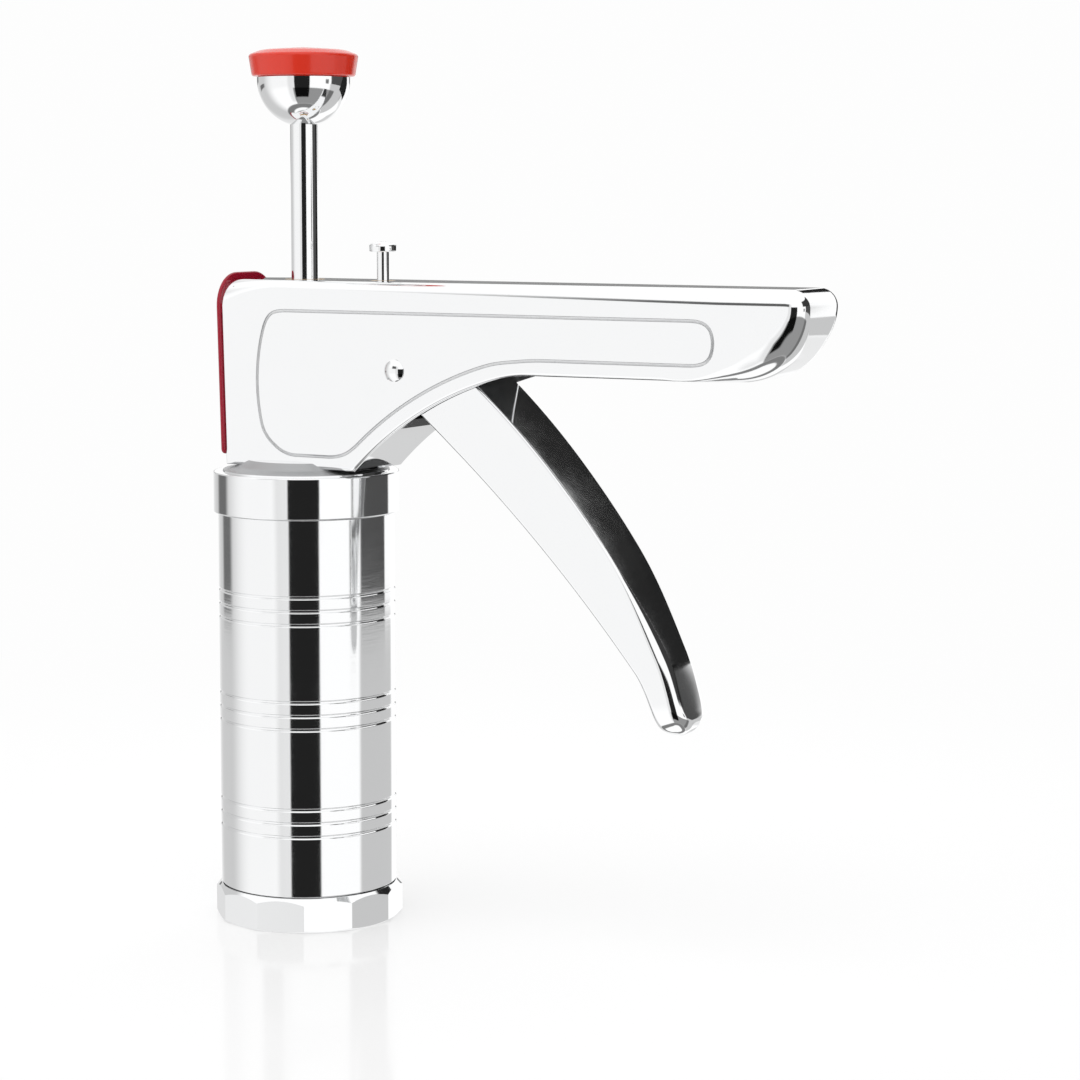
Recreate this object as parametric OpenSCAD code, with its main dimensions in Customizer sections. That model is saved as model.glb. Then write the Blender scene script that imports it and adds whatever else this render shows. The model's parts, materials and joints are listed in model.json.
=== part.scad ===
// Cookie press: a plunger is driven down a barrel of dough by a squeezed trigger.
// Origin: barrel axis at the resting face of the die ring. +Z up, +X towards the handle.

/* [Barrel] */
// Outer diameter of the barrel
barrel_d = 52; // [48:0.5:54]
// Wall thickness of the barrel
barrel_wall = 1.8; // [1.4:0.1:2.4]
// Height of the barrel's shoulder under the collar
barrel_top = 120.6; // [114:0.1:121.5]
// Number of groups of decorative grooves
groove_groups = 3; // [1:1:3]

/* [Die ring] */
// Width of the twelve-sided ring across its corners
ring_d = 55.4; // [55.4:0.1:57]
// Height of the ring
ring_h = 10; // [9:0.5:12]
// Opening in the ring's lip
ring_mouth_d = 43; // [36:1:45]
// Thickness of the die disc
die_t = 1; // [0.6:0.1:1.2]

/* [Body] */
// Width of the body casting
body_w = 27; // [27:0.5:30]
// Wall thickness of the casting
body_wall = 1.6; // [1.2:0.1:1.8]
// Height of the top face
body_top = 188.7; // [188:0.1:190]
// Height of the handle's underside
grip_z = 163.6; // [162:0.1:165]
// Reach of the handle from the barrel axis
reach = 165; // [155:1:172]
// Rounding of the long top edges
top_round = 3; // [1:0.5:4]

/* [Plunger] */
// Diameter of the piston rod
rod_d = 8; // [7:0.1:8.4]
// Height of the piston's lower face
piston_z = 46; // [40:0.5:60]
// Diameter of the knob cap
cap_d = 32; // [28:1:36]
// Diameter of the knob bowl
bowl_d = 27; // [24:1:30]

/* [Mechanism] */
// Tilt of the lock plate while it grips the rod
lock_tilt = 4.2; // [2:0.1:4.5]
// Distance of the release pin from the rod
pin_x = 27; // [25:0.5:29]
// Diameter of the release pin
pin_d = 3.6; // [3:0.1:4]
// Number of working coils in the return spring
spring_coils = 6; // [4:1:8]

/* [Hidden] */
$fn = 96;

eps = 0.01;         // overrun of a cut past a face
run_fit = 0.06;     // radial clearance of a running fit

// barrel, ring and collar
barrel_r = barrel_d / 2;
bore_r = barrel_r - barrel_wall;
neck_r = barrel_r - 0.9;             // the threaded ends of the barrel
thread_r = neck_r + 0.25;            // crests of the ridges that stand in for the thread
socket_r = neck_r + 0.45;            // plain bore of the ring and of the collar
thread_pitch = 2.5;
lip_t = 1.4;                         // lip of the ring under the die
barrel_foot = lip_t + die_t;
collar_r = barrel_r + 1.3;
collar_top = barrel_top + 12;
collar_plate = 2;
gasket_t = 0.8;
barrel_head = collar_top - collar_plate - gasket_t;
groove_step = 4;
groove_zs = [32, 63.5, 94];

// body casting, in the X-Z plane
half_w = body_w / 2;
inner_w = half_w - body_wall;
neck_z = collar_top;                 // top of the collar, where the casting's neck begins
floor_z = neck_z + 1.9;              // underside of the casting
floor_top = floor_z + 2.5;
roof_z = body_top - 2;
front_x = [-19.2, -20.7];            // front edge at the bottom and at the top
heel_x = 24.9;                       // where the floor meets the arch
arch_r = 102.7;                      // large arc of the arch
blend_r = 40;                        // small arc from the arch to the handle
arch_c = [98.9, grip_z - 100.6];
blend_c = [arch_c[0] - sqrt(pow(arch_r - blend_r, 2) - pow(grip_z - blend_r - arch_c[1], 2)),
           grip_z - blend_r];
blend_a = atan2(blend_c[1] - arch_c[1], blend_c[0] - arch_c[0]);
heel_a = 180 - acos((arch_c[0] - heel_x) / arch_r);
prow_r = 20.3;                       // curved end of the handle, seen from the side
tip_r = 5;                           // top corner of the handle
end_round = 8;                       // its two corners, seen from above
far_x = reach - 7;                   // end of the hollow
prow_c = [reach - tip_r - sqrt(pow(prow_r - tip_r, 2) - pow(grip_z + prow_r - body_top + tip_r, 2)),
          grip_z + prow_r];
tip_c = [reach - tip_r, body_top - tip_r];
prow_a = atan2(tip_c[1] - prow_c[1], tip_c[0] - prow_c[0]);
mouth_x = prow_c[0] - 8;             // the handle is open below up to here
end_t = 2;                           // wall of the closed end
arch_skin = 1.8;                     // skin that closes the arch from the heel to the lever
skin_end = 40;
cover_t = 1.2;
cover_foot = floor_z + 3;
cover_corner = 8;
neck_low_r = 24.5;                   // the neck between the collar and the casting
neck_high_r = 19;
neck_sink = 0.5;                     // its overlap with the casting
front_inside = front_x[0] + 1.8;     // inner face of the casting's front wall
cover_top = body_top + 1.9;
peg_zs = [148, 173];                 // pegs of the cover
peg_r = 2.2;
cover_screw_r = 0.9;
collar_screw_r = 1.5;
collar_screw_l = 6;
screw_head_r = 2.8;
screw_head_h = 1.3;
screw_ring_r = 12.5;                 // circle of the collar's screws

// lever
pivot = [39, grip_z + 0.1];
pivot_r = 2.5;
sleeve_r = 4.2;
lever_w = inner_w - 0.6;             // half width inside the casting
lever_tip_w = 8.2;                   // half width at the tip
lever_wall = 1.8;
lever_foot_r = 8.6;                  // rounding of the tip, seen from the front
taper_x = 62;                        // the lever narrows from here
nose = [pivot[0] - 28, pivot[1] + 7];
roller_r = 3;
roller_w = 8;                        // half length of the roller
nose_pin_r = 1.5;
back_c = [-84.1, -13.2];             // outer face, a large arc
back_r = 228.6;
palm_c = [-254.9, -208.4];           // inner edge, a larger arc
palm_r = 469;
toe_c = [122.4, 69.9];               // rounded tip
toe_r = 4.9;

// plates and springs on the rod
rod_r = rod_d / 2;
plate_t = 3;
drive_z = nose[1] - roller_r - 0.3 - plate_t;
hole_r = rod_r + 0.45;
lock_pivot = [-14, 178.5];
fulcrum_r = 1.25;
eye_r = 2.6;
lug_y = 8.4;                         // inner face of the lugs that hold the fulcrum pin
lug_z = 175.5;
lug_l = 6;
lug_sink = 0.3;                      // their overlap with the casting
pin_r = pin_d / 2;
pin_foot = lock_pivot[1] + (pin_x - lock_pivot[0]) * tan(lock_tilt) + plate_t / 2 + 0.3;
pin_bush_t = 1.8;
button_z = 197;
bush_r = 5.9;
flange_t = 1.5;                      // flanges of the rod's bushes
spring_r = 6.6;
spring_wire = 1.2;
lock_spring_r = 5.8;
lock_spring_wire = 0.8;

// plunger
rod_top = 240;
disc_r = bore_r - 0.4;
disc_t = 6;
seal_r = 1.2;
seal_mid = bore_r - 0.1 - seal_r;
stud_r = 3;                          // threaded foot of the rod
washer_r = 7;
washer_t = 1;
nut_t = 3;
nut_pocket = 3.4;
bowl_z = 233.1;                      // lowest point of the bowl
cap_z = 247.6;
cap_h = 8.6;
spigot_r = 2.5;                      // head of the rod, inside the cap
insert_r = 4;
insert_h = 5.4;

// points along an arc in the plane, from angle a to angle b
function arc(c, r, a, b, n = 24) =
    [for (i = [0:n]) c + r * [cos(a + (b - a) * i / n), sin(a + (b - a) * i / n)]];

// angle at which a circle of radius r about c reaches x on its lower side, or z on its right
function low_angle(c, r, x) = -acos((x - c[0]) / r);
function right_angle(c, r, z) = asin((z - c[1]) / r);

// the casting's front edge leans forward with height
function front_at(z) =
    front_x[0] + (front_x[1] - front_x[0]) * (z - floor_z) / (body_top - floor_z);

// extrudes an X-Z outline over the width y = -w to w
module slab(w) {
    rotate([90, 0, 0]) linear_extrude(2 * w, center = true) children();
}

// a cylinder along Y about the point p of the X-Z plane
module cross_rod(p, r, w) {
    translate([p[0], 0, p[1]]) rotate([90, 0, 0]) cylinder(r = r, h = 2 * w, center = true);
}

// a tube standing on z
module tube(z, h, r_out, r_in) {
    translate([0, 0, z]) difference() {
        cylinder(r = r_out, h = h);
        translate([0, 0, -eps]) cylinder(r = r_in, h = h + 2 * eps);
    }
}

// an open coil spring from z0 to z1 about the rod
module coil(z0, z1, mid_r, wire, turns) {
    sides = 8;
    steps = 20 * turns;
    rise = z1 - z0 - wire;
    points = [for (i = [0:steps], k = [0:sides - 1])
        let (a = 360 * turns * i / steps, b = 360 * k / sides, r = mid_r + wire / 2 * cos(b))
        [r * cos(a), r * sin(a), z0 + wire / 2 + rise * i / steps + wire / 2 * sin(b)]];
    walls = [for (i = [0:steps - 1], k = [0:sides - 1])
        let (j = (k + 1) % sides)
        [i * sides + k, (i + 1) * sides + k, (i + 1) * sides + j, i * sides + j]];
    ends = [[for (k = [0:sides - 1]) k], [for (k = [sides - 1:-1:0]) steps * sides + k]];
    polyhedron(points, concat(walls, ends));
}

// ---- frame ----

module body_outline() {
    polygon(concat(
        [[front_x[0], floor_z]],
        arc(arch_c, arch_r, heel_a, blend_a),
        arc(blend_c, blend_r, blend_a, 90, 6),
        arc(prow_c, prow_r, -90, prow_a),
        arc(tip_c, tip_r, prow_a, 90, 12),
        [[front_x[1], body_top]]));
}

module cavity_outline() {
    polygon(concat(
        [[front_inside, floor_top]],
        arc(arch_c, arch_r + arch_skin, right_angle(arch_c, -arch_r - arch_skin, floor_top) + 180,
            180 - acos((arch_c[0] - skin_end) / (arch_r + arch_skin))),
        [[skin_end, neck_z], [mouth_x, neck_z], [mouth_x, grip_z + end_t]],
        arc(prow_c, prow_r - end_t, -90, low_angle(prow_c, prow_r - end_t, far_x), 12),
        [[far_x, roof_z], [front_inside, roof_z]]));
}

// the casting seen from above, with a rounded end
module end_plan() {
    translate([-50, -half_w]) square([50 + reach - end_round, body_w]);
    translate([reach - end_round - eps, -half_w + end_round])
        square([end_round + eps, body_w - 2 * end_round]);
    for (s = [-1, 1])
        translate([reach - end_round, s * (half_w - end_round)]) circle(r = end_round);
}

module body_shell() {
    color("silver") difference() {
        union() {
            intersection() {
                slab(half_w) body_outline();
                translate([-50, 0, 0]) rotate([90, 0, 90]) linear_extrude(250) union() {
                    translate([-half_w, 0]) square([body_w, body_top - top_round]);
                    translate([-half_w + top_round, 0]) square([body_w - 2 * top_round, body_top]);
                    for (s = [-1, 1])
                        translate([s * (half_w - top_round), body_top - top_round])
                            circle(r = top_round);
                }
                linear_extrude(250) end_plan();
            }
            translate([0, 0, neck_z])
                cylinder(r1 = neck_low_r, r2 = neck_high_r, h = floor_z - neck_z + neck_sink);
        }
        slab(inner_w) cavity_outline();
        // the neck must not fill the space in front of the casting
        translate([-2 * barrel_r + front_x[0], -barrel_r, floor_z])
            cube([2 * barrel_r, 2 * barrel_r, neck_sink + 1]);
        for (s = [-1, 1])
            translate([-barrel_r, s > 0 ? half_w : -half_w - barrel_r, floor_z])
                cube([2 * barrel_r, barrel_r, neck_sink + 1]);
        translate([0, 0, neck_z - eps]) cylinder(r = bush_r, h = body_top - neck_z + 1);
        translate([pin_x, 0, roof_z - 1]) cylinder(r = pin_r + pin_bush_t, h = 5);
        cross_rod(pivot, pivot_r, half_w + 1);
        for (z = peg_zs)
            translate([front_at(z) - 1, 0, z]) rotate([0, 90, 0])
                cylinder(r = peg_r, h = front_inside - front_at(z) + 2);
        screw_circle() cylinder(r = collar_screw_r, h = collar_screw_l);
    }
    // lugs for the fulcrum pin of the lock plate
    color("silver") difference() {
        for (s = [-1, 1])
            translate([front_inside - lug_sink, s > 0 ? lug_y : -inner_w - lug_sink, lug_z])
                cube([lug_l, inner_w + lug_sink - lug_y, roof_z + lug_sink - lug_z]);
        cross_rod(lock_pivot, fulcrum_r, half_w);
    }
}

// the cover seen from the front
module cover_front() {
    side = half_w + 1;
    translate([-side, floor_z]) square([2 * side, cover_top - floor_z - cover_corner]);
    translate([-side + cover_corner, floor_z])
        square([2 * (side - cover_corner), cover_top - floor_z]);
    for (s = [-1, 1])
        translate([s * (side - cover_corner), cover_top - cover_corner])
            circle(r = cover_corner);
}

module front_cover() {
    color("crimson") difference() {
        union() {
            intersection() {
                slab(barrel_r) polygon([
                    [front_at(cover_foot) - cover_t, cover_foot], [front_at(cover_foot), cover_foot],
                    [front_x[1], body_top], [front_x[1] - 0.05, cover_top],
                    [front_x[1] - cover_t, cover_top]]);
                translate([-2 * barrel_r, 0, 0]) rotate([90, 0, 90]) linear_extrude(2 * barrel_r)
                    cover_front();
            }
            for (z = peg_zs)
                translate([front_at(z) - 0.5, 0, z]) rotate([0, 90, 0])
                    cylinder(r = peg_r, h = front_inside - front_at(z) + 0.5);
        }
        for (z = peg_zs)
            translate([front_at(z), 0, z]) rotate([0, 90, 0]) cylinder(r = cover_screw_r, h = 5);
    }
}

module cover_screws() {
    color("silver") for (z = peg_zs) {
        translate([front_at(z), 0, z]) rotate([0, 90, 0])
            cylinder(r = cover_screw_r, h = front_inside - front_at(z) + 0.5);
        translate([front_inside, 0, z]) rotate([0, 90, 0]) cylinder(r = screw_head_r, h = 1);
    }
}

module screw_circle() {
    for (a = [0, 120, 240])
        rotate([0, 0, a]) translate([screw_ring_r, 0, collar_top - collar_plate]) children();
}

module barrel_collar() {
    edge = 0.4;
    color("silver") difference() {
        rotate_extrude() union() {
            translate([0, barrel_top]) square([collar_r, collar_top - barrel_top - edge]);
            translate([0, barrel_top]) square([collar_r - edge, collar_top - barrel_top]);
            translate([collar_r - edge, collar_top - edge]) circle(r = edge);
        }
        translate([0, 0, barrel_top - 1])
            cylinder(r = socket_r, h = collar_top - collar_plate - barrel_top + 1);
        cylinder(r = bush_r, h = collar_top + 1);
        screw_circle() {
            translate([0, 0, -eps]) cylinder(r = collar_screw_r, h = collar_plate + 1);
            translate([0, 0, -eps])
                cylinder(r1 = screw_head_r + eps, r2 = collar_screw_r, h = screw_head_h + eps);
        }
    }
}

module collar_screws() {
    color("silver") screw_circle() {
        cylinder(r = collar_screw_r, h = collar_screw_l);
        cylinder(r1 = screw_head_r, r2 = collar_screw_r, h = screw_head_h);
    }
}

module lower_bush() {
    color("darkgoldenrod") union() {
        tube(collar_top - collar_plate, floor_top - collar_top + collar_plate, bush_r, rod_r + run_fit);
        tube(floor_top, flange_t, 9, rod_r + run_fit);
    }
}

module upper_bush() {
    color("darkgoldenrod") union() {
        tube(roof_z, body_top - roof_z, bush_r, rod_r + run_fit);
        tube(roof_z - flange_t, flange_t, 7.5, rod_r + run_fit);
    }
}

module pin_bush() {
    color("darkgoldenrod") translate([pin_x, 0, 0])
        tube(roof_z - 0.8, body_top - roof_z + 0.8, pin_r + pin_bush_t, pin_r + run_fit);
}

module pivot_pin() {
    head_r = 3.25;
    head_h = 1.2;
    dome_r = (head_r * head_r + head_h * head_h) / (2 * head_h);
    color("silver") union() {
        cross_rod(pivot, pivot_r, half_w);
        for (s = [-1, 1]) intersection() {
            translate([pivot[0], s * (half_w + head_h - dome_r), pivot[1]]) sphere(r = dome_r);
            translate([pivot[0], s * (half_w + head_h / 2), pivot[1]]) rotate([90, 0, 0])
                cylinder(r = head_r + 1, h = head_h, center = true);
        }
    }
}

module return_spring() {
    color("gainsboro") coil(floor_top + flange_t + 0.1, drive_z - 0.1, spring_r, spring_wire, spring_coils);
}

module lock_spring() {
    low = lock_pivot[1] + (-lock_pivot[0] - 6) * tan(lock_tilt) - plate_t / 2 - 0.2;
    color("gainsboro") coil(drive_z + plate_t + 0.1, low, lock_spring_r, lock_spring_wire, 4);
}

// ---- trigger ----

module lever_outline() {
    top_a = 49.3;
    polygon(concat(
        arc(palm_c, palm_r, 50.1, 38.3, 20),
        arc(toe_c, toe_r, 190, 385, 20),
        arc(back_c, back_r, right_angle(back_c, back_r, toe_c[1] + 9), top_a, 24),
        [[54, 170.5], [44, 172.5], [34, 171], [33, 159]]));
}

module lever_channel() {
    polygon(concat(
        [[28, 150], [28, 157]],
        arc(palm_c, palm_r - 1, 49.5, 38.4, 20),
        [[120, 74]],
        arc(back_c, back_r - lever_wall - 0.4, 23.6, 49.3, 24),
        [[53, 168.5], [44, 170.5], [30, 169], [20, 160]]));
}

// the lever seen from above, narrower towards its tip
module lever_plan(inset) {
    wide = lever_w - inset;
    narrow = lever_tip_w - inset;
    polygon([
        [-barrel_r, -wide], [taper_x, -wide], [toe_c[0], -narrow], [toe_c[0] + 2 * toe_r, -narrow + 1],
        [toe_c[0] + 2 * toe_r, narrow - 1], [toe_c[0], narrow], [taper_x, wide], [-barrel_r, wide]]);
}

module trigger_lever() {
    color("silver") difference() {
        union() {
            intersection() {
                slab(lever_w) lever_outline();
                linear_extrude(body_top) lever_plan(0);
                // the tip is round when seen from the front
                rotate([90, 0, 90]) linear_extrude(reach) union() {
                    translate([0, toe_c[1] - toe_r + lever_foot_r]) circle(r = lever_foot_r);
                    translate([-half_w, toe_c[1] - toe_r + lever_foot_r])
                        square([body_w, body_top]);
                }
            }
            // cheeks that reach over the drive plate
            slab(lever_w) polygon([
                [34, 158], [nose[0] - 1, nose[1] - 4.2], [nose[0] - 4.2, nose[1]],
                [nose[0], nose[1] + 4.2], [36, 172]]);
        }
        intersection() {
            slab(lever_w - lever_wall) union() {
                lever_channel();
                polygon([[40, 150], [-10, 150], [-10, 185], [42, 172.5], [44, 160]]);
            }
            linear_extrude(body_top) lever_plan(lever_wall);
        }
        cross_rod(pivot, sleeve_r, half_w);
        cross_rod(nose, nose_pin_r, half_w);
    }
}

module pivot_sleeve() {
    color("darkgoldenrod") difference() {
        cross_rod(pivot, sleeve_r, lever_w);
        cross_rod(pivot, pivot_r + run_fit, half_w);
    }
}

module roller_pin() {
    color("silver") cross_rod(nose, nose_pin_r, lever_w);
}

module nose_roller() {
    color("gainsboro") difference() {
        cross_rod(nose, roller_r, roller_w);
        cross_rod(nose, nose_pin_r + run_fit, half_w);
    }
}

// ---- plates that grip the rod ----

module drive_plate() {
    color("gray") difference() {
        translate([-14, -9, drive_z]) cube([32, 18, plate_t]);
        translate([0, 0, drive_z - eps]) cylinder(r = hole_r, h = plate_t + 2 * eps);
    }
}

module fulcrum_pin() {
    color("silver") cross_rod(lock_pivot, fulcrum_r, inner_w);
}

module lock_plate() {
    color("gray") translate([lock_pivot[0], 0, lock_pivot[1]]) rotate([0, -lock_tilt, 0])
        difference() {
            union() {
                translate([0, -8, -plate_t / 2]) cube([pin_x - lock_pivot[0] + 4, 16, plate_t]);
                cross_rod([0, 0], eye_r, 8);
            }
            cross_rod([0, 0], fulcrum_r + run_fit, 9);
            translate([-lock_pivot[0] / cos(lock_tilt), 0, -plate_t])
                cylinder(r = hole_r, h = 2 * plate_t);
        }
}

module release_pin() {
    color("silver") translate([pin_x, 0, pin_foot]) cylinder(r = pin_r, h = button_z + 1 - pin_foot);
}

module release_button() {
    button_r = 4;
    button_h = 3;
    edge = 0.8;
    color("silver") translate([pin_x, 0, button_z]) difference() {
        rotate_extrude() union() {
            square([button_r, button_h - edge]);
            square([button_r - edge, button_h]);
            translate([button_r - edge, button_h - edge]) circle(r = edge);
        }
        translate([0, 0, -eps]) cylinder(r = pin_r, h = 1);
    }
}

module pin_clip() {
    clip_drop = 1.8;
    clip_t = 0.8;
    color("gray") translate([pin_x, 0, 0]) tube(roof_z - clip_drop, clip_t, 3.4, pin_r);
}

// ---- plunger ----

module piston_rod() {
    color("silver") union() {
        translate([0, 0, piston_z + disc_t + washer_t])
            cylinder(r = rod_r, h = rod_top - piston_z - disc_t - washer_t);
        translate([0, 0, piston_z + 0.2]) cylinder(r = stud_r, h = disc_t + washer_t);
        translate([0, 0, rod_top - eps]) cylinder(r = spigot_r, h = cap_z + 5 - rod_top);
    }
}

module piston_disc() {
    color("whitesmoke") difference() {
        translate([0, 0, piston_z]) cylinder(r = disc_r, h = disc_t);
        tube(piston_z + disc_t / 2 - 1.4, 2.8, disc_r + 1, seal_mid - seal_r - 0.05);
        translate([0, 0, piston_z - eps]) cylinder(r = washer_r, h = nut_pocket);
        translate([0, 0, piston_z]) cylinder(r = stud_r, h = disc_t + 1);
    }
}

module piston_seal() {
    color("dimgray") translate([0, 0, piston_z + disc_t / 2])
        rotate_extrude() translate([seal_mid, 0]) circle(r = seal_r, $fn = 32);
}

module piston_washer() {
    color("silver") tube(piston_z + disc_t, washer_t, washer_r, stud_r);
}

module piston_nut() {
    color("silver") translate([0, 0, piston_z + 0.3]) difference() {
        cylinder(r = 5.7, h = nut_t, $fn = 6);
        translate([0, 0, -1]) cylinder(r = stud_r, h = nut_t + 2);
    }
}

module knob_bowl() {
    bowl_r = bowl_d / 2;
    color("silver") difference() {
        intersection() {
            translate([0, 0, bowl_z + bowl_r]) union() {
                sphere(r = bowl_r);
                cylinder(r = bowl_r, h = 5);
            }
            translate([0, 0, bowl_z]) cylinder(r = 20, h = cap_z - bowl_z);
        }
        translate([0, 0, bowl_z - 1]) cylinder(r = rod_r, h = rod_top - bowl_z + 1);
        cylinder(r = spigot_r, h = cap_z + 1);
    }
}

module knob_cap() {
    cap_r = cap_d / 2;
    side_h = 6.2;
    dome = cap_h - side_h;
    dome_r = (cap_r * cap_r + dome * dome) / (2 * dome);
    color("orangered") difference() {
        union() {
            translate([0, 0, cap_z]) cylinder(r1 = cap_r - 1, r2 = cap_r, h = side_h);
            intersection() {
                translate([0, 0, cap_z + cap_h - dome_r]) sphere(r = dome_r, $fn = 200);
                translate([0, 0, cap_z + side_h - eps]) cylinder(r = cap_r, h = dome + 1);
            }
        }
        translate([0, 0, cap_z - eps]) cylinder(r = insert_r, h = insert_h + 0.1);
    }
}

module cap_insert() {
    color("darkgoldenrod") tube(cap_z, insert_h, insert_r, spigot_r);
}

// ---- barrel ----

module barrel_gasket() {
    color("dimgray") tube(barrel_head, gasket_t, neck_r, bore_r);
}

module barrel_wall_section() {
    groove_w = 0.9;
    groove_deep = 0.35;
    shoulders = [ring_h + 0.3, barrel_top - 0.2];
    difference() {
        union() {
            translate([bore_r, barrel_foot]) square([neck_r - bore_r, barrel_head - barrel_foot]);
            translate([bore_r, shoulders[0]])
                square([barrel_r - bore_r, shoulders[1] - shoulders[0]]);
            for (base = [barrel_foot + 1, barrel_head - 1 - 2 * thread_pitch], i = [0:2])
                translate([bore_r, base + thread_pitch * i - 0.4]) square([thread_r - bore_r, 0.8]);
        }
        for (g = [0:groove_groups - 1], i = [-1:1])
            translate([barrel_r - groove_deep, groove_zs[g] + i * groove_step - groove_w / 2])
                square([1, groove_w]);
    }
}

module barrel() {
    color("silver") rotate_extrude() barrel_wall_section();
}

module die_disc() {
    petals = 6;
    color("whitesmoke") difference() {
        translate([0, 0, lip_t]) cylinder(r = neck_r, h = die_t);
        translate([0, 0, lip_t - 1]) cylinder(r = 2.2, h = die_t + 2);
        for (i = [0:petals - 1]) rotate([0, 0, 360 * i / petals]) union() {
            for (spot = [[6, 1.2], [11, 2.4]])
                translate([spot[0], 0, lip_t - 1]) cylinder(r = spot[1], h = die_t + 2, $fn = 32);
            translate([6, -1, lip_t - 1]) cube([5, 2, die_t + 2]);
        }
    }
}

module die_ring() {
    corner_r = ring_d / 2;
    color("silver") difference() {
        intersection() {
            linear_extrude(ring_h) circle(r = corner_r, $fn = 12);
            rotate_extrude() polygon([
                [0, 0], [corner_r - 1.4, 0], [corner_r + 0.2, 0.9], [corner_r + 0.2, ring_h - 2],
                [corner_r - 1.4, ring_h], [0, ring_h]]);
        }
        translate([0, 0, lip_t]) cylinder(r = socket_r, h = ring_h);
        translate([0, 0, -1]) cylinder(r = ring_mouth_d / 2, h = ring_h);
    }
}

body_shell();
front_cover();
cover_screws();
barrel_collar();
collar_screws();
lower_bush();
upper_bush();
pin_bush();
pivot_pin();
fulcrum_pin();
return_spring();
lock_spring();
trigger_lever();
pivot_sleeve();
roller_pin();
nose_roller();
drive_plate();
lock_plate();
release_pin();
release_button();
pin_clip();
piston_rod();
piston_disc();
piston_seal();
piston_washer();
piston_nut();
knob_bowl();
knob_cap();
cap_insert();
barrel_gasket();
barrel();
die_disc();
die_ring();
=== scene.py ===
"""Cookie press: detailed pieces, materials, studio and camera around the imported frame."""
import json
import math

import bmesh
import bpy
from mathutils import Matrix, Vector

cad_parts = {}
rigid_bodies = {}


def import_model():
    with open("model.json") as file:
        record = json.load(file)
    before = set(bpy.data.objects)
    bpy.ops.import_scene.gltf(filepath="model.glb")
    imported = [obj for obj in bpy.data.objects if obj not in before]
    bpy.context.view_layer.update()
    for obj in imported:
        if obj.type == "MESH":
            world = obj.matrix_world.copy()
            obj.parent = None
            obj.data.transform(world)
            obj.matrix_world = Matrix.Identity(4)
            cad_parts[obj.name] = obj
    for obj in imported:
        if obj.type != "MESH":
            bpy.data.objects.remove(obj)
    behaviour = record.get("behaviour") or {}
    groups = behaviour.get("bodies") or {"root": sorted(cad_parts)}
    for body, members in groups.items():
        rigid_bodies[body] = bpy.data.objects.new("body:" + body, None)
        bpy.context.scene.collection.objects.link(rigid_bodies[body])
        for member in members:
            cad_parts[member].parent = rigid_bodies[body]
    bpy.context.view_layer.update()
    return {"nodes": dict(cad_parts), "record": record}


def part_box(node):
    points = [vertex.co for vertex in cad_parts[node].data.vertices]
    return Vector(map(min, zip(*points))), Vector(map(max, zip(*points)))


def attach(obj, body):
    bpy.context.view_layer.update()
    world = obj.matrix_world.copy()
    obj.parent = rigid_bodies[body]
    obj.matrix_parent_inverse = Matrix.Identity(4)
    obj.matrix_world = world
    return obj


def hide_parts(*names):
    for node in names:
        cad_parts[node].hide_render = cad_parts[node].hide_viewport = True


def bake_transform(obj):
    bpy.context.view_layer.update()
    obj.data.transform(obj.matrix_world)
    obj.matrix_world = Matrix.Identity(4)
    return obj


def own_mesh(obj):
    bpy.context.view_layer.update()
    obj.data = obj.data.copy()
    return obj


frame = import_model()
MM = 0.001

# ---------------------------------------------------------------- sizes, in millimetres

HALF_W = 13.5          # half width of the casting
WALL = 1.6             # its side walls
ROOF = 2.0             # its top wall
END_WALL = 2.2         # its wall in the handle's end
TOP = 188.7
FLOOR = 134.5          # underside of the head
GRIP = 163.6           # underside of the handle
FRONT = (-19.2, -20.7)  # front edge, bottom and top
HEEL = 24.9            # where the floor meets the arch
ARCH_MID = (98.9, GRIP - 100.6)
ARCH_R = 102.7
ARCH_END_R = 40.0      # small arc that leads from the arch to the handle
SKIN = 1.8             # thickness of the skin that closes the arch
REACH = 165.0          # the handle's end
TIP = 5.0              # top corner of the handle
PROW = 20.3            # curve of its end, seen from the side
PROW_EDGE = 8.0        # rounding of the end's two edges
MOUTH = 136.7          # the handle is open below up to here
TOP_DROP = 8.0         # rounding where the top meets the front
CROWN = (2.4, 4.9)     # rounding of the top edges, at the head and near the handle's end
PANEL_IN = 4.6         # from the arch to the engraved line
LINE_R = 0.5           # radius of the tool that cuts the line
PIVOT = (39.0, 163.7)
PIVOT_R = 2.5
NOSE = (11.0, 170.7)
PIN_X = 27.0
RING_TOP = 10.0
RING_CORNER = 27.7
COLLAR = (120.6, 132.6)
BARREL_R, THREAD_R, BORE_R = 26.0, 25.1, 24.2
BARREL_FOOT = 2.4
ROD_R = 4.0
BOWL_R, BOWL_MID = 13.5, 246.6
SPRING_FOOT = 138.6    # the return spring stands here
TILT_ROOM = 1.6        # the lock plate's underside comes down this far when it tilts


# ---------------------------------------------------------------- outlines

def arc(centre, radius, start, end, steps=24):
    """Points of an arc, angles in degrees."""
    turn = [math.radians(start + (end - start) * i / steps) for i in range(steps + 1)]
    return [(centre[0] + radius * math.cos(a), centre[1] + radius * math.sin(a)) for a in turn]


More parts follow.
